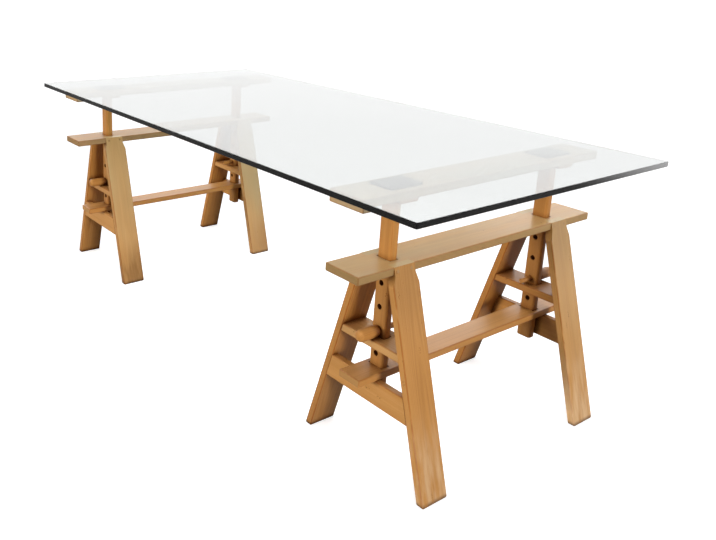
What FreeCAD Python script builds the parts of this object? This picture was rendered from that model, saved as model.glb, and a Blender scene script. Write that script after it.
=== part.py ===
import FreeCAD
import Part
import math
import os

os.makedirs("parts", exist_ok=True)

# Glass top
glass_length = 2000.0
glass_width = 1000.0
glass_thickness = 15.0
glass_corner_radius = 4.0
glass_arris = 1.0
table_height = 760.0

# Places of the two trestles, from the short edges of the glass to the middle of each trestle
right_overhang = 245.0
left_overhang = 192.0

# Top board and carrier, cut from the same stock
board_width = 115.0
board_length = 932.0
board_thickness = 22.0
board_edge = 3.0
frame_height = 565.0

# Legs
splay_angle = 16.0
leg_width = 88.0
leg_thickness = 20.0
leg_edge = 2.0
foot_round = 5.0
leg_spacing = 630.0
tongue_width = 70.0
shoulder_height = 28.0

# Dowels through the leg tops into the top board
dowel_diameter = 8.0
dowel_length = 40.0
dowel_spacing = 46.0
dowel_clearance = 0.05

# Cross bars that carry the pegs
bar_top = 356.0
bar_thickness = 22.0
bar_recess = 3.0

# Lower rails and the stretcher that lies on them
rail_bottom = 187.0
rail_height = 67.0
rail_thickness = 20.0
stretcher_width = 72.0
stretcher_length = 836.0
stretcher_thickness = 20.0

# Posts, with the length that hangs below the stretcher
post_width = 46.0
post_depth = 27.0
post_tail = 72.0
post_edge = 9.0
post_foot_round = 4.0
post_clearance = 1.0
tenon_side = 20.0
tenon_height = 14.0
hole_diameter = 15.0
hole_pitch = 64.0
holes_above = 2
holes_below = 1

# Head battens and pads on the carrier
batten_length = 64.0
batten_thickness = 9.0
batten_round = 6.0
pad_length = 110.0
pad_width = 75.0
pad_thickness = 5.0
pad_corner = 4.0
pad_inset = 10.0

# Pegs
handle_diameter = 32.0
handle_length = 70.0
dome_depth = 12.0
dome_rim_radius = 9.0
neck_diameter = 24.0
neck_length = 20.0
shank_clearance = 0.3
shank_reach = 46.0
shoulder_gap = 0.5
rest_gap = 0.2
shank_tip = 2.0

# Lengths closer than this count as equal
tolerance = 1e-6

# Heights and faces that follow from the sizes above
splay = math.radians(splay_angle)
leg_depth = leg_thickness / math.cos(splay)
board_under = frame_height - board_thickness
glass_under = table_height - glass_thickness
carrier_top = glass_under - pad_thickness
carrier_under = carrier_top - board_thickness
rail_top = rail_bottom + rail_height
post_bottom = rail_top - post_tail
stretcher_top = rail_top + stretcher_thickness
peg_height = bar_top + rest_gap + handle_diameter / 2
post_y = leg_spacing / 2

# The origin lies on the floor under the middle of the whole table
right_trestle = glass_length / 2 - right_overhang
left_trestle = left_overhang - glass_length / 2
foot_reach = board_width / 2 + frame_height * math.tan(splay)
eased_reach = foot_reach - leg_edge * (math.tan(splay) + 1 / math.cos(splay) - 1)
right_end = max(glass_length / 2, right_trestle + eased_reach)
left_end = min(-glass_length / 2, left_trestle - eased_reach)
glass_x = -(left_end + right_end) / 2
right_x = glass_x + right_trestle
left_x = glass_x + left_trestle


def outer_face(z):
    return foot_reach - z * math.tan(splay)


def inner_face(z):
    return outer_face(z) - leg_depth


def block(x0, x1, y0, y1, z0, z1):
    return Part.makeBox(x1 - x0, y1 - y0, z1 - z0, FreeCAD.Vector(x0, y0, z0))


def prism_along_y(points, y0, y1):
    corners = [FreeCAD.Vector(x, y0, z) for x, z in points]
    face = Part.Face(Part.makePolygon(corners + corners[:1]))
    return face.extrude(FreeCAD.Vector(0, y1 - y0, 0))


def prism_along_x(points, x0, x1):
    corners = [FreeCAD.Vector(x0, y, z) for y, z in points]
    face = Part.Face(Part.makePolygon(corners + corners[:1]))
    return face.extrude(FreeCAD.Vector(x1 - x0, 0, 0))


def edges_along(shape, axis):
    # Straight edges whose two ends differ only along one axis
    found = []
    for edge in shape.Edges:
        ends = [vertex.Point for vertex in edge.Vertexes]
        if len(ends) == 2:
            step = ends[1].sub(ends[0])
            if abs(abs(step.dot(axis)) - step.Length) < tolerance:
                found.append(edge)
    return found


axis_x = FreeCAD.Vector(1, 0, 0)
axis_y = FreeCAD.Vector(0, 1, 0)
axis_z = FreeCAD.Vector(0, 0, 1)


def post_opening(y, z0, z1, clearance):
    half_width = post_width / 2 + clearance
    half_depth = post_depth / 2 + clearance
    return block(-half_width, half_width, y - half_depth, y + half_depth, z0, z1)


# Legs: a sloping slab, cut to the outline with the two clipped corners
def make_leg(side, y):
    slope = [
        (side * outer_face(0), 0),
        (side * outer_face(frame_height), frame_height),
        (side * inner_face(frame_height), frame_height),
        (side * inner_face(0), 0),
    ]
    half = leg_width / 2
    tongue = tongue_width / 2
    shoulder = board_under - shoulder_height
    outline = [
        (y - half, 0),
        (y + half, 0),
        (y + half, shoulder),
        (y + tongue, board_under),
        (y + tongue, frame_height),
        (y - tongue, frame_height),
        (y - tongue, board_under),
        (y - half, shoulder),
    ]
    slab = prism_along_y(slope, y - half, y + half)
    reach = outer_face(0)
    leg = slab.common(prism_along_x(outline, -reach, reach))
    foot_corners = [edge for edge in edges_along(leg, axis_x) if edge.BoundBox.ZMax < tolerance]
    leg = leg.makeFillet(foot_round, foot_corners)
    long_edges = [edge for edge in leg.Edges if edge.Length > shoulder]
    return leg.makeFillet(leg_edge, long_edges)


# Dowels lie level, flush with the sloping face of the leg
def make_dowels(side, y, radius):
    z = board_under + board_thickness / 2
    inside = [
        (side * outer_face(frame_height), frame_height),
        (side * outer_face(board_under), board_under),
        (0, board_under),
        (0, frame_height),
    ]
    trim = prism_along_y(inside, y - leg_width / 2, y + leg_width / 2)
    dowels = []
    for step in (-1, 1):
        start = FreeCAD.Vector(side * (outer_face(z) - dowel_length), y + step * dowel_spacing / 2, z)
        rod = Part.makeCylinder(radius, dowel_length + leg_depth, start, axis_x * side)
        dowels.append(rod.common(trim))
    return dowels


def make_cross_piece(z0, z1, y0, y1):
    outline = [
        (-inner_face(z0), z0),
        (inner_face(z0), z0),
        (inner_face(z1), z1),
        (-inner_face(z1), z1),
    ]
    piece = prism_along_y(outline, y0, y1)
    return piece.makeFillet(board_edge, edges_along(piece, axis_x))


def make_board(width, length, thickness, z0):
    board = block(-width / 2, width / 2, -length / 2, length / 2, z0, z0 + thickness)
    return board.makeFillet(board_edge, board.Edges)


def make_post(y):
    post = post_opening(y, post_bottom, carrier_under, 0)
    post = post.makeFillet(post_edge, edges_along(post, axis_z))
    foot = [edge for edge in post.Edges if edge.BoundBox.ZMax < post_bottom + tolerance]
    post = post.makeFillet(post_foot_round, foot)
    half = tenon_side / 2
    tenon = block(-half, half, y - half, y + half, carrier_under, carrier_under + tenon_height)
    post = post.fuse(tenon)
    for step in range(-holes_below, holes_above + 1):
        start = FreeCAD.Vector(0, y - post_depth, peg_height + step * hole_pitch)
        post = post.cut(Part.makeCylinder(hole_diameter / 2, 2 * post_depth, start, axis_y))
    return post.removeSplitter()


def make_carrier():
    carrier = make_board(board_width, board_length, board_thickness, carrier_under)
    half = tenon_side / 2
    for y in (-post_y, post_y):
        mortise = block(-half, half, y - half, y + half, carrier_under, carrier_under + tenon_height)
        carrier = carrier.cut(mortise)
    return carrier


def make_batten(y):
    half = board_width / 2 - board_edge
    batten = block(
        -half,
        half,
        y - batten_length / 2,
        y + batten_length / 2,
        carrier_under - batten_thickness,
        carrier_under,
    )
    lower = [edge for edge in edges_along(batten, axis_x) if edge.BoundBox.ZMax < carrier_under - tolerance]
    batten = batten.makeFillet(batten_round, lower)
    return batten.cut(post_opening(y, carrier_under - batten_thickness, carrier_under, 0))


def make_pad(y):
    pad = block(
        -pad_width / 2,
        pad_width / 2,
        y - pad_length / 2,
        y + pad_length / 2,
        carrier_top,
        glass_under,
    )
    return pad.makeFillet(pad_corner, edges_along(pad, axis_z))


# Pegs are turned about the hole axis; end is -1 at the front of the trestle and 1 at the back
def make_peg(end):
    handle = handle_diameter / 2
    neck = neck_diameter / 2
    shank = hole_diameter / 2 - shank_clearance
    shoulder = post_depth / 2 + shoulder_gap
    tip = -post_depth / 2 - shank_reach
    neck_end = shoulder + neck_length
    handle_end = shoulder + handle_length
    dome_start = handle_end - dome_depth

    def at(out, radius):
        return FreeCAD.Vector(0, end * (post_y + out), peg_height + radius)

    def bow(out, offset, radius, start, stop):
        # Arc about a point of the profile plane, between two angles from the peg's axis
        angles = (start, (start + stop) / 2, stop)
        points = [at(out + radius * math.cos(a), offset + radius * math.sin(a)) for a in angles]
        return Part.Arc(*points).toShape()

    # The neck swells to the full handle along an arc that meets it without a corner
    fall = handle - neck
    neck_radius = (neck_length**2 + fall**2) / (2 * fall)
    neck_angle = math.pi / 2 + math.asin(neck_length / neck_radius)
    swell = bow(neck_end, handle - neck_radius, neck_radius, neck_angle, math.pi / 2)
    barrel = Part.makeLine(at(neck_end, handle), at(dome_start, handle))

    # The domed end has a rounded rim that runs into a flatter crown centred on the axis
    rim = handle - dome_rim_radius
    rise = dome_depth**2 + rim**2 - dome_rim_radius**2
    crown_radius = rise / (2 * (dome_depth - dome_rim_radius))
    meeting = math.atan2(rim, crown_radius - dome_depth)
    rim_arc = bow(dome_start, rim, dome_rim_radius, math.pi / 2, meeting)
    crown_arc = bow(handle_end - crown_radius, 0, crown_radius, meeting, 0)

    side = Part.makePolygon(
        [
            at(handle_end, 0),
            at(tip, 0),
            at(tip, shank - shank_tip),
            at(tip + shank_tip, shank),
            at(shoulder, shank),
            at(shoulder, neck),
        ]
    )
    outline = Part.Wire(side.Edges + [swell, barrel, rim_arc, crown_arc])
    return Part.Face(outline).revolve(at(0, 0), axis_y, 360)


def make_glass():
    sheet = block(
        glass_x - glass_length / 2,
        glass_x + glass_length / 2,
        -glass_width / 2,
        glass_width / 2,
        glass_under,
        table_height,
    )
    sheet = sheet.makeFillet(glass_corner_radius, edges_along(sheet, axis_z))
    rims = [edge for edge in sheet.Edges if edge.BoundBox.ZLength < tolerance]
    return sheet.makeChamfer(glass_arris, rims)


# One trestle about its own middle, with its legs splayed along X
pieces = {}
cut_dowels = []
dowels = []
legs = {}
for end, y in (("front", -post_y), ("back", post_y)):
    for name, side in (("outer", 1), ("inner", -1)):
        legs[end, name] = make_leg(side, y)
        dowels += make_dowels(side, y, dowel_diameter / 2)
        cut_dowels += make_dowels(side, y, dowel_diameter / 2 + dowel_clearance)

top_board = make_board(board_width, board_length, board_thickness, board_under)
for leg in legs.values():
    top_board = top_board.cut(leg)
for hole in cut_dowels:
    top_board = top_board.cut(hole)
for y in (-post_y, post_y):
    top_board = top_board.cut(post_opening(y, board_under, frame_height, post_clearance))
pieces["top_board"] = top_board

for (end, name), leg in legs.items():
    for hole in cut_dowels:
        leg = leg.cut(hole)
    pieces[end + "_" + name + "_leg"] = leg

stretcher = make_board(stretcher_width, stretcher_length, stretcher_thickness, rail_top)
for end, y in (("front", -post_y), ("back", post_y)):
    out = math.copysign(1, y)
    bar_y = sorted((y + out * (leg_width / 2 - bar_recess), y - out * (leg_width / 2 - bar_recess)))
    bar = make_cross_piece(bar_top - bar_thickness, bar_top, bar_y[0], bar_y[1])
    bar = bar.cut(post_opening(y, bar_top - bar_thickness, bar_top, post_clearance))
    pieces[end + "_cross_bar"] = bar
    rail_y = sorted((y + out * leg_width / 2, y + out * (leg_width / 2 - rail_thickness)))
    pieces[end + "_rail"] = make_cross_piece(rail_bottom, rail_top, rail_y[0], rail_y[1])
    stretcher = stretcher.cut(post_opening(y, rail_top, stretcher_top, post_clearance))
    pieces[end + "_post"] = make_post(y)
    pieces[end + "_batten"] = make_batten(y)
    pieces[end + "_pad"] = make_pad(y - out * pad_inset)
    pieces[end + "_peg"] = make_peg(out)
pieces["stretcher"] = stretcher
pieces["carrier"] = make_carrier()
pieces["leg_dowels"] = Part.makeCompound(dowels)

# The right trestle stands as drawn and the left one is its mirror image
for name, shape in pieces.items():
    right = shape.copy()
    right.translate(FreeCAD.Vector(right_x, 0, 0))
    right.exportStep("parts/right_" + name + ".step")
    left = shape.mirror(FreeCAD.Vector(0, 0, 0), axis_x)
    left.translate(FreeCAD.Vector(left_x, 0, 0))
    left.exportStep("parts/left_" + name + ".step")

make_glass().exportStep("parts/glass_top.step")
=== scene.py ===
import itertools
import math

import bpy
from mathutils import Matrix, Vector


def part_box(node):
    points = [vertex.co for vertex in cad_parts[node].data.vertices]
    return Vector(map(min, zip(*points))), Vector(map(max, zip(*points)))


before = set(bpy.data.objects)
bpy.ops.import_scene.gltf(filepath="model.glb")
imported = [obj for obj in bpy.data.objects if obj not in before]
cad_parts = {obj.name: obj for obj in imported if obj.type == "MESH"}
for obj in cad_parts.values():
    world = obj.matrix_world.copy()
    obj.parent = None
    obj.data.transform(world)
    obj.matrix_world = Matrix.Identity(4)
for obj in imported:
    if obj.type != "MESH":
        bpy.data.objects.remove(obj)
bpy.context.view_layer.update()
print("frame loaded:", len(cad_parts), "nodes")

scene = bpy.context.scene
scene.view_settings.view_transform = "Standard"


# camera at the photograph's angle

cameraView = {
    "place": (2.0058, -1.6456, 1.2604),
    "azimuth": 54.32,
    "elevation": 15.17,
    "roll": 1.59,
    "lens": 38.9,
    "shift": (0.160, -0.140),
}


def makeCamera(view):
    bpy.ops.object.camera_add(location=view["place"])
    camera = bpy.context.object
    camera.name = "camera"
    turn = Matrix.Rotation(math.radians(view["azimuth"]), 3, "Z")
    tilt = Matrix.Rotation(math.radians(90 - view["elevation"]), 3, "X")
    roll = Matrix.Rotation(math.radians(view["roll"]), 3, "Z")
    camera.rotation_euler = (turn @ tilt @ roll).to_euler()
    camera.data.lens = view["lens"]
    camera.data.shift_x, camera.data.shift_y = view["shift"]
    scene.camera = camera


makeCamera(cameraView)
print("camera set")


# node helpers, used by every material

def newTree(name):
    material = bpy.data.materials.new(name)
    material.use_nodes = True
    material.node_tree.nodes.clear()
    return material, material.node_tree


def put(tree, kind, inputs, **settings):
    made = tree.nodes.new(kind)
    for key, value in settings.items():
        setattr(made, key, value)
    for key, value in inputs.items():
        if isinstance(value, bpy.types.NodeSocket):
            tree.links.new(value, made.inputs[key])
        else:
            made.inputs[key].default_value = value
    return made


def calc(tree, operation, first, second=0.0, third=0.0):
    return put(tree, "ShaderNodeMath", {0: first, 1: second, 2: third}, operation=operation).outputs[0]


def times(tree, first, second):
    return calc(tree, "MULTIPLY", first, second)


def weighted(tree, value, weight, start):
    return calc(tree, "MULTIPLY_ADD", value, weight, start)


def vectors(tree, operation, first, second=(0, 0, 0), third=(0, 0, 0)):
    return put(tree, "ShaderNodeVectorMath", {0: first, 1: second, 2: third}, operation=operation)


def scaled(tree, vector, size):
    return vectors(tree, "MULTIPLY", vector, size).outputs[0]


def axes(tree, vector):
    return put(tree, "ShaderNodeSeparateXYZ", {0: vector}).outputs


def noise(tree, vector, size, detail=2.0, roughness=0.5):
    stretched = scaled(tree, vector, size)
    sockets = {"Vector": stretched, "Scale": 1.0, "Detail": detail, "Roughness": roughness}
    return put(tree, "ShaderNodeTexNoise", sockets)


def cells(tree, vector, size):
    sockets = {"Vector": scaled(tree, vector, size), "Scale": 1.0}
    return put(tree, "ShaderNodeTexVoronoi", sockets).outputs["Distance"]


def ease(tree, value, start, end, low=0.0, high=1.0):
    sockets = {0: value, 1: start, 2: end, 3: low, 4: high}
    return put(tree, "ShaderNodeMapRange", sockets, interpolation_type="SMOOTHSTEP").outputs[0]


def ramp(tree, value, stops):
    made = put(tree, "ShaderNodeValToRGB", {0: value})
    bar = made.color_ramp
    while len(bar.elements) < len(stops):
        bar.elements.new(0.5)
    for element, (place, colour) in zip(bar.elements, stops):
        element.position = place
        element.color = (*colour, 1.0)
    return made.outputs[0]


def blend(tree, amount, under, over, mode="MIX"):
    sockets = {0: amount, 6: under, 7: over}
    return put(tree, "ShaderNodeMix", sockets, data_type="RGBA", blend_type=mode).outputs[2]


def cover(tree, amount, colour, paint):
    return blend(tree, amount, colour, (*paint, 1))


def shade(tree, amount, colour, tint):
    return blend(tree, amount, colour, (*tint, 1), "MULTIPLY")


# floor and light: a bright plain surround, and soft lights all round,
# strongest from the right and the front

studio = {
    "floorSize": 120.0,
    "floorSeen": (0.62, 0.62, 0.62),
    "floorThroughGlass": (0.45, 0.45, 0.45),
    "floorBounce": (0.26, 0.25, 0.24),
    "floorGlow": 0.72,
    "glowThroughGlass": 0.62,
    "mirroredGlow": (0.18, 2.8),
    "mirroredRise": (2.5, 3.8),
    "surroundLow": (1.70, 1.70, 1.70),
    "surroundHigh": (2.50, 2.50, 2.50),
    "surroundRise": (0.10, 0.36),
    "fill": (0.17, 0.17, 0.18),
    "lightDistance": 6.0,
    "lights": (
        {"name": "rightLight", "azimuth": 83.0, "elevation": 13.0, "strength": 2.5, "angle": 14.0},
        {"name": "frontLight", "azimuth": -12.0, "elevation": 8.0, "strength": 2.3, "angle": 16.0},
        {"name": "backLight", "azimuth": 212.0, "elevation": 12.0, "strength": 1.5, "angle": 24.0},
        {"name": "topLight", "azimuth": 60.0, "elevation": 78.0, "strength": 0.25, "angle": 50.0},
    ),
}


def makeFloor(setup):
    bpy.ops.mesh.primitive_plane_add(size=setup["floorSize"])
    floor = bpy.context.object
    floor.name = "floor"
    material, tree = newTree("paleFloor")
    ray = put(tree, "ShaderNodeLightPath", {}).outputs
    seen = ray["Is Camera Ray"]
    throughGlass = ray["Is Transmission Ray"]
    bounce = (*setup["floorBounce"], 1)
    tone = cover(tree, throughGlass, bounce, setup["floorThroughGlass"])
    tone = cover(tree, seen, tone, setup["floorSeen"])
    matt = put(tree, "ShaderNodeBsdfDiffuse", {"Color": tone})

    # what the glass mirrors grows brighter behind the table
    place = put(tree, "ShaderNodeTexCoord", {}).outputs["Object"]
    backdrop = ease(tree, axes(tree, place)[1], *setup["mirroredRise"], *setup["mirroredGlow"])
    mirrored = times(tree, ray["Is Glossy Ray"], ray["Is Reflection Ray"])
    strength = times(tree, seen, setup["floorGlow"])
    strength = weighted(tree, throughGlass, setup["glowThroughGlass"], strength)
    strength = weighted(tree, mirrored, backdrop, strength)
    glow = put(tree, "ShaderNodeEmission", {"Strength": strength})
    both = put(tree, "ShaderNodeAddShader", {0: matt.outputs[0], 1: glow.outputs[0]})
    put(tree, "ShaderNodeOutputMaterial", {"Surface": both.outputs[0]})
    floor.data.materials.append(material)


def makeSurround(setup):
    world = bpy.data.worlds.new("studioSurround")
    world.use_nodes = True
    tree = world.node_tree
    towards = put(tree, "ShaderNodeTexCoord", {}).outputs["Generated"]
    rise = ease(tree, axes(tree, towards)[2], *setup["surroundRise"])
    bright = cover(tree, rise, (*setup["surroundLow"], 1), setup["surroundHigh"])
    ray = put(tree, "ShaderNodeLightPath", {}).outputs
    tone = cover(tree, ray["Is Diffuse Ray"], bright, setup["fill"])
    tree.links.new(tone, tree.nodes["Background"].inputs["Color"])
    scene.world = world


def makeLights(setup):
    for lamp in setup["lights"]:
        azimuth = math.radians(lamp["azimuth"])
        elevation = math.radians(lamp["elevation"])
        level = math.cos(elevation)
        towards = Vector((math.sin(azimuth) * level, -math.cos(azimuth) * level, math.sin(elevation)))
        bpy.ops.object.light_add(type="SUN", location=towards * setup["lightDistance"])
        light = bpy.context.object
        light.name = lamp["name"]
        light.rotation_euler = towards.to_track_quat("Z", "Y").to_euler()
        light.data.energy = lamp["strength"]
        light.data.angle = math.radians(lamp["angle"])
        # only the surround is mirrored, so the glass shows no lamps
        light.visible_glossy = False
        light.visible_transmission = False


makeFloor(studio)
makeSurround(studio)
makeLights(studio)
print("floor and light set")


# beech: a figure of its own on every board, in repeats per metre along and across the grain;
# the uneven factors on the seeds keep any two boards from looking alike

beechGrain = {
    "wander": (2.2, 9.0, 9.0),
    "wanderReach": (0.0, 0.010, 0.010),
    "ringWidth": 0.0031,
    "ringTilt": 0.016,
    "ringEase": (-0.4, 1.0),
    "pith": (0.020, -0.055),
    "pithVaries": 0.4,
    "broad": (0.8, 17.0, 17.0),
    "narrow": (2.6, 95.0, 95.0),
    "fibre": (9.0, 430.0, 430.0),
    "fibreUneven": 0.6,
    "fleck": (120.0, 900.0, 900.0),
    "fleckEase": (0.32, 0.10),
    "start": -0.12,
    "weights": {"broad": 0.70, "narrow": 0.36, "fibre": 0.24, "ring": -0.10, "fleck": -0.12},
    "tones": (
        (0.12, (0.345, 0.142, 0.032)),
        (0.50, (0.490, 0.222, 0.056)),
        (0.90, (0.610, 0.318, 0.105)),
    ),
}


# growth rings round a pith that runs beside the board, a little out of line with it;
# only the distance across the pith counts
def growthRings(tree, local, moved, seed):
    grain = beechGrain
    wander = noise(tree, moved, grain["wander"]).outputs["Color"]
    bent = vectors(tree, "MULTIPLY_ADD", wander, grain["wanderReach"], local).outputs[0]
    tilt = grain["ringTilt"]
    turn = (0.0, tilt * math.sin(seed * 3.1), tilt * math.cos(seed * 4.7))
    pithY, pithZ = grain["pith"]
    side = math.copysign(1 + grain["pithVaries"] * math.sin(seed), math.cos(seed * 5.3))
    pith = (0.0, pithY * math.sin(seed * 1.3), pithZ * side)
    placed = {"Vector": bent, "Location": pith, "Rotation": turn}
    fromPith = put(tree, "ShaderNodeMapping", placed, vector_type="POINT").outputs[0]
    across = scaled(tree, fromPith, (0.0, 1.0, 1.0))
    radius = vectors(tree, "LENGTH", across).outputs["Value"]
    wave = calc(tree, "SINE", times(tree, radius, math.tau / grain["ringWidth"]))
    return ease(tree, wave, *grain["ringEase"])


# rings, broad and narrow streaks, fibres, and the short dark flecks of beech
def grainMaps(tree, local, moved, seed):
    grain = beechGrain
    return {
        "ring": growthRings(tree, local, moved, seed),
        "broad": noise(tree, moved, grain["broad"]).outputs[0],
        "narrow": noise(tree, moved, grain["narrow"]).outputs[0],
        "fibre": noise(tree, moved, grain["fibre"], roughness=grain["fibreUneven"]).outputs[0],
        "fleck": ease(tree, cells(tree, moved, grain["fleck"]), *grain["fleckEase"]),
    }


# varnish and wear, the same on every board

beechFinish = {
    "patch": (2.2, 8.0, 8.0),
    "patchEase": (0.30, 0.75),
    "patchLeast": 0.5,
    "faded": (0.425, 0.308, 0.152),
    # a grey tone, partly the wood's own greying and partly painted sheen: the pale grazing reflection on
    # the carriers under the glass and the grey reflection on the left top board
    "weatheredWithSheen": (0.350, 0.295, 0.200),
    "endGrain": (0.390, 0.215, 0.068),
    "endEase": (0.70, 0.92),
    # painted shade on the long upright faces of top boards and on the tops of the legs
    "paintedShade": (0.45, 0.46, 0.40),
    "sideShadeEase": (0.8, 0.2),
    "edge": (0.58, 0.37, 0.24),
    "edgeWidth": 0.0045,
    "edgeWear": 0.8,
    "rubbed": (14.0, 60.0, 60.0),
    "rubbedDetail": 3.0,
    "rubbedEase": (0.26, 0.52),
    # painted shade where parts meet and in holes, found by ambient occlusion
    "corner": (0.36, 0.26, 0.18),
    "cornerReach": 0.030,
    "cornerSamples": 6,
    "cornerEase": (0.82, 0.30),
    "scratch": (0.40, 0.30, 0.22),
    "scratchWear": 0.8,
    "scratchRow": (13.0, 31.0, 31.0),
    "scratchRowEase": (0.16, 0.10),
    "scratchLine": (150.0, 420.0, 260.0),
    "scratchLineEase": (0.42, 0.25),
    "roughness": 0.32,
    "streakRoughness": 0.20,
    "wornRoughness": 0.12,
    "coat": 0.12,
    "coatRoughness": 0.24,
    "fleckRelief": -0.5,
    "scratchRelief": -1.5,
    "relief": 0.12,
    "reliefDepth": 0.0006,
}


def facing(tree, where, axis):
    towards = vectors(tree, "DOT_PRODUCT", where["Normal"], axis).outputs["Value"]
    return calc(tree, "ABSOLUTE", towards)


def wornEdges(tree, local, moved, half):
    finish = beechFinish
    away = vectors(tree, "ABSOLUTE", local).outputs[0]
    inner = [size - finish["edgeWidth"] for size in half]
    near = put(tree, "ShaderNodeMapRange", {6: away, 7: inner, 8: half}, data_type="FLOAT_VECTOR",
               interpolation_type="SMOOTHSTEP").outputs[1]
    x, y, z = axes(tree, near)
    edge = calc(tree, "MINIMUM", y, z)
    edge = calc(tree, "MAXIMUM", edge, calc(tree, "MINIMUM", x, y))
    edge = calc(tree, "MAXIMUM", edge, calc(tree, "MINIMUM", x, z))
    rubbed = noise(tree, moved, finish["rubbed"], finish["rubbedDetail"]).outputs[0]
    return times(tree, edge, ease(tree, rubbed, *finish["rubbedEase"]))


# legs: their narrow faces fade less than their broad ones, and their feet are scuffed and stained;
# heights are above the floor

legFinish = {
    "broadFace": (0.7, 0.3, 0.35, 1.0),
    "fadeHeight": (0.05, 0.35, 0.4, 1.0),
    # the painted shade at the top of a leg grows between these heights
    "topShadeHeight": (0.34, 0.56),
    "scrape": (7.0, 44.0, 44.0),
    "scrapeDetail": 4.0,
    "scrapeUneven": 0.6,
    "scuff": (0.68, 0.46, 0.26),
    "scuffHeight": (0.25, 0.05),
    "scuffEase": (0.28, 0.70),
    "stain": (0.54, 0.48, 0.40),
    "stainHeight": (0.19, 0.02),
    "stainEase": (0.20, 0.46),
    "stainStreaks": (0.35, 0.60, 0.45, 1.0),
    "grime": (0.36, 0.33, 0.32),
    "grimeHeight": (0.014, 0.002),
    "grimeStreaks": (0.30, 0.55, 0.4, 1.0),
}


# pale scuffs along the grain, dark stains, a line of grime at the floor
def soilFoot(tree, colour, moved, patch, height, look):
    finish = legFinish
    streaks = (finish["scrape"], finish["scrapeDetail"], finish["scrapeUneven"])
    scrape = noise(tree, moved, *streaks).outputs[0]
    scuffed = ease(tree, height, *finish["scuffHeight"])
    scuffed = times(tree, scuffed, ease(tree, scrape, *finish["scuffEase"]))
    colour = cover(tree, times(tree, scuffed, look["scuffed"]), colour, finish["scuff"])
    stained = ease(tree, height, *finish["stainHeight"])
    stained = times(tree, stained, ease(tree, patch, *finish["stainEase"]))
    stained = times(tree, stained, ease(tree, scrape, *finish["stainStreaks"]))
    colour = shade(tree, times(tree, stained, look["stained"]), colour, finish["stain"])
    grimy = ease(tree, height, *finish["grimeHeight"])
    grimy = times(tree, grimy, ease(tree, scrape, *finish["grimeStreaks"]))
    return shade(tree, grimy, colour, finish["grime"])


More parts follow.
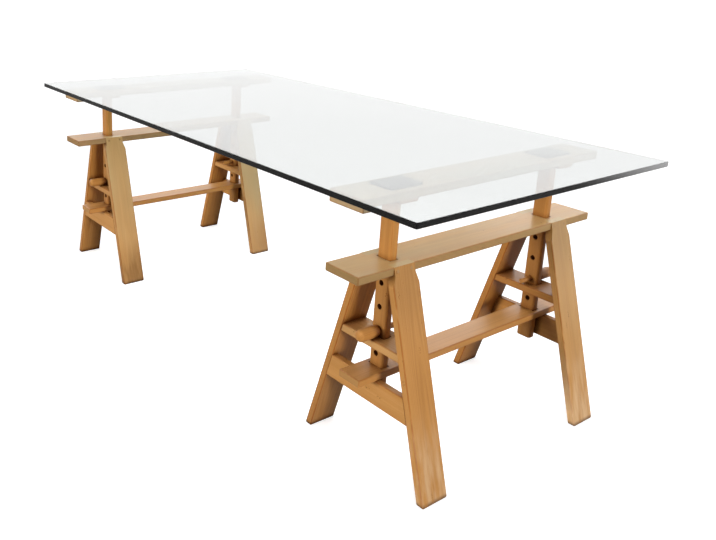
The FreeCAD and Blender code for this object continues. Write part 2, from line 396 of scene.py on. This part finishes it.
def beech(name, turn, centre, half, seed, look):
    finish = beechFinish
    material, tree = newTree(name)
    where = put(tree, "ShaderNodeTexCoord", {}).outputs
    placed = {"Vector": where["Object"], "Location": centre, "Rotation": turn}
    local = put(tree, "ShaderNodeMapping", placed, vector_type="TEXTURE").outputs[0]
    shift = (seed * 0.731, math.sin(seed * 2.3), math.cos(seed * 1.7))
    moved = vectors(tree, "ADD", local, shift).outputs[0]

    maps = grainMaps(tree, local, moved, seed)
    # depth deepens the tone, and lightens it below zero; on the back pieces, the posts and the far inner
    # legs the deeper tone is painted shade
    tone = beechGrain["start"] - look["depth"]
    for kind, weight in beechGrain["weights"].items():
        tone = weighted(tree, maps[kind], weight, tone)
    colour = ramp(tree, tone, beechGrain["tones"])

    # the varnish fades in patches
    fade = look["fade"]
    patch = noise(tree, moved, finish["patch"]).outputs[0]
    paler = ease(tree, patch, *finish["patchEase"], fade * finish["patchLeast"], fade)
    if look["leg"]:
        height = axes(tree, where["Object"])[2]
        broadFace = ease(tree, facing(tree, where, (0, 1, 0)), *legFinish["broadFace"])
        paler = times(tree, paler, ease(tree, height, *legFinish["fadeHeight"]))
        paler = times(tree, paler, broadFace)
    colour = cover(tree, paler, colour, finish[look["fadeTo"]])

    # end grain drinks more varnish, or is bleached where it looks up
    along = Matrix.Rotation(turn[2], 3, "Z") @ Matrix.Rotation(turn[1], 3, "Y") @ Vector((1, 0, 0))
    endFace = ease(tree, facing(tree, where, along), *finish["endEase"])
    colour = cover(tree, times(tree, endFace, look["ends"]), colour, finish[look["endTone"]])

    # painted shade: the long upright faces of a board and the tops of the legs, under the board and the
    # glass, are darkened
    if look["sideShade"]:
        shadedSide = ease(tree, facing(tree, where, (0, 0, 1)), *finish["sideShadeEase"], 0.0, look["sideShade"])
        colour = shade(tree, shadedSide, colour, finish["paintedShade"])
    if look["leg"]:
        flank = calc(tree, "SUBTRACT", 1.0, endFace)
        shadedTop = ease(tree, height, *legFinish["topShadeHeight"], 0.0, look["paintedShade"])
        shadedTop = times(tree, times(tree, flank, shadedTop), broadFace)
        colour = shade(tree, shadedTop, colour, finish["paintedShade"])

    # edges are darker still, here and there rubbed clean
    worn = wornEdges(tree, local, moved, half)
    if look["leg"]:
        worn = times(tree, worn, flank)
    colour = shade(tree, times(tree, worn, finish["edgeWear"]), colour, finish["edge"])

    # painted shade: ambient occlusion darkens where parts meet and the insides of holes, and dulls the
    # gloss there
    gloss = look["shine"]
    coat = finish["coat"]
    if look["corners"]:
        reach = {"Distance": finish["cornerReach"]}
        hollow = put(tree, "ShaderNodeAmbientOcclusion", reach, samples=finish["cornerSamples"])
        cornerShade = ease(tree, hollow.outputs["AO"], *finish["cornerEase"])
        colour = shade(tree, cornerShade, colour, finish["corner"])
        unshaded = calc(tree, "SUBTRACT", 1.0, cornerShade)
        gloss = times(tree, unshaded, gloss)
        coat = times(tree, unshaded, coat)

    # a few dents and scratches, lying any way
    row = ease(tree, cells(tree, moved, finish["scratchRow"]), *finish["scratchRowEase"])
    line = ease(tree, cells(tree, moved, finish["scratchLine"]), *finish["scratchLineEase"])
    scratch = times(tree, row, line)
    colour = shade(tree, times(tree, scratch, finish["scratchWear"]), colour, finish["scratch"])
    if look["leg"]:
        colour = soilFoot(tree, colour, moved, patch, height, look)

    roughness = weighted(tree, maps["broad"], finish["streakRoughness"], finish["roughness"])
    roughness = weighted(tree, worn, finish["wornRoughness"], roughness)
    relief = weighted(tree, maps["fleck"], finish["fleckRelief"], maps["fibre"])
    relief = weighted(tree, scratch, finish["scratchRelief"], relief)
    raised = {"Strength": finish["relief"], "Distance": finish["reliefDepth"], "Height": relief}
    shader = put(tree, "ShaderNodeBsdfPrincipled", {
        "Base Color": colour,
        "Roughness": roughness,
        "Normal": put(tree, "ShaderNodeBump", raised).outputs[0],
        "Specular IOR Level": gloss,
        "Coat Weight": coat,
        "Coat Roughness": finish["coatRoughness"],
    })
    put(tree, "ShaderNodeOutputMaterial", {"Surface": shader.outputs[0]})
    return material


# how each piece of the two trestles has aged, and how much painted shade and sheen it carries, over a
# plain look that they share

plainLook = {
    "fadeTo": "faded",
    "depth": 0.0,
    "shine": 0.17,
    "ends": 0.45,
    "endTone": "endGrain",
    "sideShade": 0.0,
    "corners": True,
    "leg": False,
}
legLook = {"leg": True, "ends": 0.9, "endTone": "faded"}

# painted shade: the deeper tones (depth) of the back pieces, the posts and the far inner legs, and the
# darkened leg tops and long board faces, stand for the shade these get under the boards and the glass
# and away from the front lamp
timber = {
    "left": {
        "seed": 11.0,
        "boards": {
            "top_board": {"fade": 0.60, "fadeTo": "weatheredWithSheen", "shine": 0.08, "sideShade": 0.5},
            "carrier": {"fade": 1.20, "fadeTo": "weatheredWithSheen", "shine": 0.08, "corners": False},
            "stretcher": {"fade": 0.15, "depth": 0.12, "shine": 0.28},
        },
        "front": {
            "cross_bar": {"fade": 0.20, "depth": -0.10},
            "rail": {"fade": 0.05, "depth": -0.10},
            "batten": {"fade": 0.05},
            "post": {"fade": 0.05, "depth": 0.10},
            "outer_leg": {"fade": 0.0, "depth": 0.14, "scuffed": 0.05, "stained": 0.30, "paintedShade": 0.0},
            "inner_leg": {"fade": 1.00, "scuffed": 0.15, "stained": 1.20, "paintedShade": 0.10},
            "peg": {"fade": 0.05, "depth": 0.10, "ends": 0.0},
        },
        "back": {
            "cross_bar": {"fade": 0.20, "depth": -0.05},
            "rail": {"fade": 0.05, "depth": -0.05},
            "batten": {"fade": 0.05, "depth": 0.05},
            "post": {"fade": 0.05, "depth": 0.15},
            "outer_leg": {"fade": 0.0, "depth": 0.16, "scuffed": 0.05, "stained": 0.30, "paintedShade": 0.0},
            "inner_leg": {"fade": 1.30, "scuffed": 0.20, "stained": 0.50, "paintedShade": 0.10},
            "peg": {"fade": 0.05, "depth": 0.15, "ends": 0.0},
        },
    },
    "right": {
        "seed": 47.0,
        "boards": {
            "top_board": {"fade": 0.75, "shine": 0.22, "sideShade": 0.5},
            "carrier": {"fade": 1.20, "fadeTo": "weatheredWithSheen", "shine": 0.22, "corners": False},
            "stretcher": {"fade": 0.15, "depth": 0.12, "shine": 0.28},
        },
        "front": {
            "cross_bar": {"fade": 0.30, "depth": -0.25},
            "rail": {"fade": 0.05, "depth": -0.10},
            "batten": {"fade": 0.05},
            "post": {"fade": 0.05, "depth": 0.10},
            "outer_leg": {"fade": 0.10, "scuffed": 0.75, "stained": 0.10, "paintedShade": 0.50},
            "inner_leg": {"fade": 0.0, "depth": 0.08, "scuffed": 0.05, "stained": 0.20, "paintedShade": 0.0},
            "peg": {"fade": 0.05, "depth": 0.10, "ends": 0.0},
        },
        "back": {
            "cross_bar": {"fade": 0.05, "depth": 0.50},
            "rail": {"fade": 0.05, "depth": 0.15},
            "batten": {"fade": 0.05, "depth": 0.25},
            "post": {"fade": 0.05, "depth": 0.35},
            "outer_leg": {"fade": 0.50, "scuffed": 0.85, "stained": 0.0, "paintedShade": 0.55},
            "inner_leg": {"fade": 0.0, "depth": 0.60, "scuffed": 0.05, "stained": 0.20, "paintedShade": 0.35},
            "peg": {"fade": 0.05, "depth": 0.35, "ends": 0.0},
        },
    },
}
seedStep = 1.37

# which way the grain runs: the turn of the local axes, and the world axes that they follow
alongX = {"turn": (0.0, 0.0, 0.0), "order": (0, 1, 2)}
alongY = {"turn": (0.0, 0.0, math.radians(90)), "order": (1, 0, 2)}
alongZ = {"turn": (0.0, math.radians(-90), 0.0), "order": (2, 1, 0)}
grainOf = {"cross_bar": alongX, "rail": alongX, "batten": alongX, "post": alongZ, "peg": alongY}
splay = math.radians(16.0)


def dress(node, material):
    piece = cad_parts[node]
    piece.data.materials.clear()
    piece.data.materials.append(material)


def middleAndHalf(node):
    low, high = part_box(node)
    return (low + high) / 2, (high - low) / 2


def dressBoard(node, grain, seed, look):
    centre, half = middleAndHalf(node)
    sizes = tuple(half[axis] for axis in grain["order"])
    dress(node, beech(node, grain["turn"], centre, sizes, seed, {**plainLook, **look}))


# a leg's grain follows its splay
def dressLeg(node, leans, seed, look):
    centre, half = middleAndHalf(node)
    turn = (0.0, -(math.radians(90) + leans * splay), 0.0)
    thick = (half.x - half.z * math.tan(splay)) * math.cos(splay)
    sizes = (half.z / math.cos(splay), half.y, thick)
    dress(node, beech(node, turn, centre, sizes, seed, {**plainLook, **legLook, **look}))


def dressTimber(side, wood):
    seeds = itertools.count(wood["seed"], seedStep)
    for name, look in wood["boards"].items():
        dressBoard(side + "_" + name, alongY, next(seeds), look)
    for end in ("front", "back"):
        for name, look in wood[end].items():
            node = side + "_" + end + "_" + name
            if name in grainOf:
                dressBoard(node, grainOf[name], next(seeds), look)
            else:
                leans = 1 if (side == "right") == (name == "outer_leg") else -1
                dressLeg(node, leans, next(seeds), look)


for side, wood in timber.items():
    dressTimber(side, wood)
print("timber dressed")


# dowels and rubber pads: one fine figure each

dowelEnd = {
    "figure": (60.0, 420.0, 420.0),
    "detail": 3.0,
    "uneven": 0.6,
    "tones": ((0.3, (0.225, 0.120, 0.040)), (0.7, (0.310, 0.170, 0.058))),
    "roughness": (0.45, 0.65),
    "relief": 0.2,
    "reliefDepth": 0.0005,
}
padSkin = {
    "figure": (900.0, 900.0, 900.0),
    "detail": 2.0,
    "uneven": 0.5,
    "tones": ((0.3, (0.014, 0.014, 0.015)), (0.7, (0.032, 0.032, 0.034))),
    "roughness": (0.65, 0.85),
    "relief": 0.3,
    "reliefDepth": 0.0004,
}


def speckled(name, look):
    material, tree = newTree(name)
    where = put(tree, "ShaderNodeTexCoord", {}).outputs
    figure = noise(tree, where["Object"], look["figure"], look["detail"], look["uneven"]).outputs[0]
    raised = {"Strength": look["relief"], "Distance": look["reliefDepth"], "Height": figure}
    (start, _), (end, _) = look["tones"]
    shader = put(tree, "ShaderNodeBsdfPrincipled", {
        "Base Color": ramp(tree, figure, look["tones"]),
        "Roughness": ease(tree, figure, start, end, *look["roughness"]),
        "Normal": put(tree, "ShaderNodeBump", raised).outputs[0],
    })
    put(tree, "ShaderNodeOutputMaterial", {"Surface": shader.outputs[0]})
    return material


# glass: faintly smeared, and letting less through along a slant

glassSheet = {
    "tint": (0.72, 0.80, 0.77),
    "depth": 14.0,
    "bending": 1.52,
    "slant": (
        (0.35, (0.960, 0.970, 0.965)),
        (0.73, (0.160, 0.164, 0.164)),
        (0.79, (0.105, 0.108, 0.108)),
        (0.86, (0.060, 0.062, 0.062)),
    ),
    "smear": (7.0, 5.0, 5.0),
    "smearDetail": 4.0,
    "smearUneven": 0.6,
    "smearEase": (0.5, 0.8, 0.0, 0.003),
    "shadow": (0.79, 0.82, 0.81),
}


def tableGlass(sheet):
    material, tree = newTree("tableGlass")
    where = put(tree, "ShaderNodeTexCoord", {}).outputs
    wiped = (sheet["smear"], sheet["smearDetail"], sheet["smearUneven"])
    smear = noise(tree, where["Object"], *wiped).outputs[0]
    slant = put(tree, "ShaderNodeLayerWeight", {}).outputs["Facing"]
    shader = put(tree, "ShaderNodeBsdfPrincipled", {
        "Base Color": ramp(tree, slant, sheet["slant"]),
        "Roughness": ease(tree, smear, *sheet["smearEase"]),
        "IOR": sheet["bending"],
        "Transmission Weight": 1.0,
    })
    clear = put(tree, "ShaderNodeBsdfTransparent", {"Color": (*sheet["shadow"], 1)})
    ray = put(tree, "ShaderNodeLightPath", {}).outputs
    either = {0: ray["Is Shadow Ray"], 1: shader.outputs[0], 2: clear.outputs[0]}
    mixed = put(tree, "ShaderNodeMixShader", either)
    soaked = {"Color": (*sheet["tint"], 1), "Density": sheet["depth"]}
    inside = put(tree, "ShaderNodeVolumeAbsorption", soaked)
    put(tree, "ShaderNodeOutputMaterial", {"Surface": mixed.outputs[0], "Volume": inside.outputs[0]})
    return material


airFilm = 0.0001


# glass only lies on rubber: the film of air between them keeps its underside shiny
def leaveAirFilm(node):
    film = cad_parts[node].modifiers.new("airFilm", "DISPLACE")
    film.mid_level = 0.0
    film.strength = -airFilm


dowels = speckled("dowelWood", dowelEnd)
rubber = speckled("padRubber", padSkin)
for side in ("left", "right"):
    dress(side + "_leg_dowels", dowels)
    for end in ("front", "back"):
        dress(side + "_" + end + "_pad", rubber)
        leaveAirFilm(side + "_" + end + "_pad")
dress("glass_top", tableGlass(glassSheet))
print("dowels, pads and glass dressed")
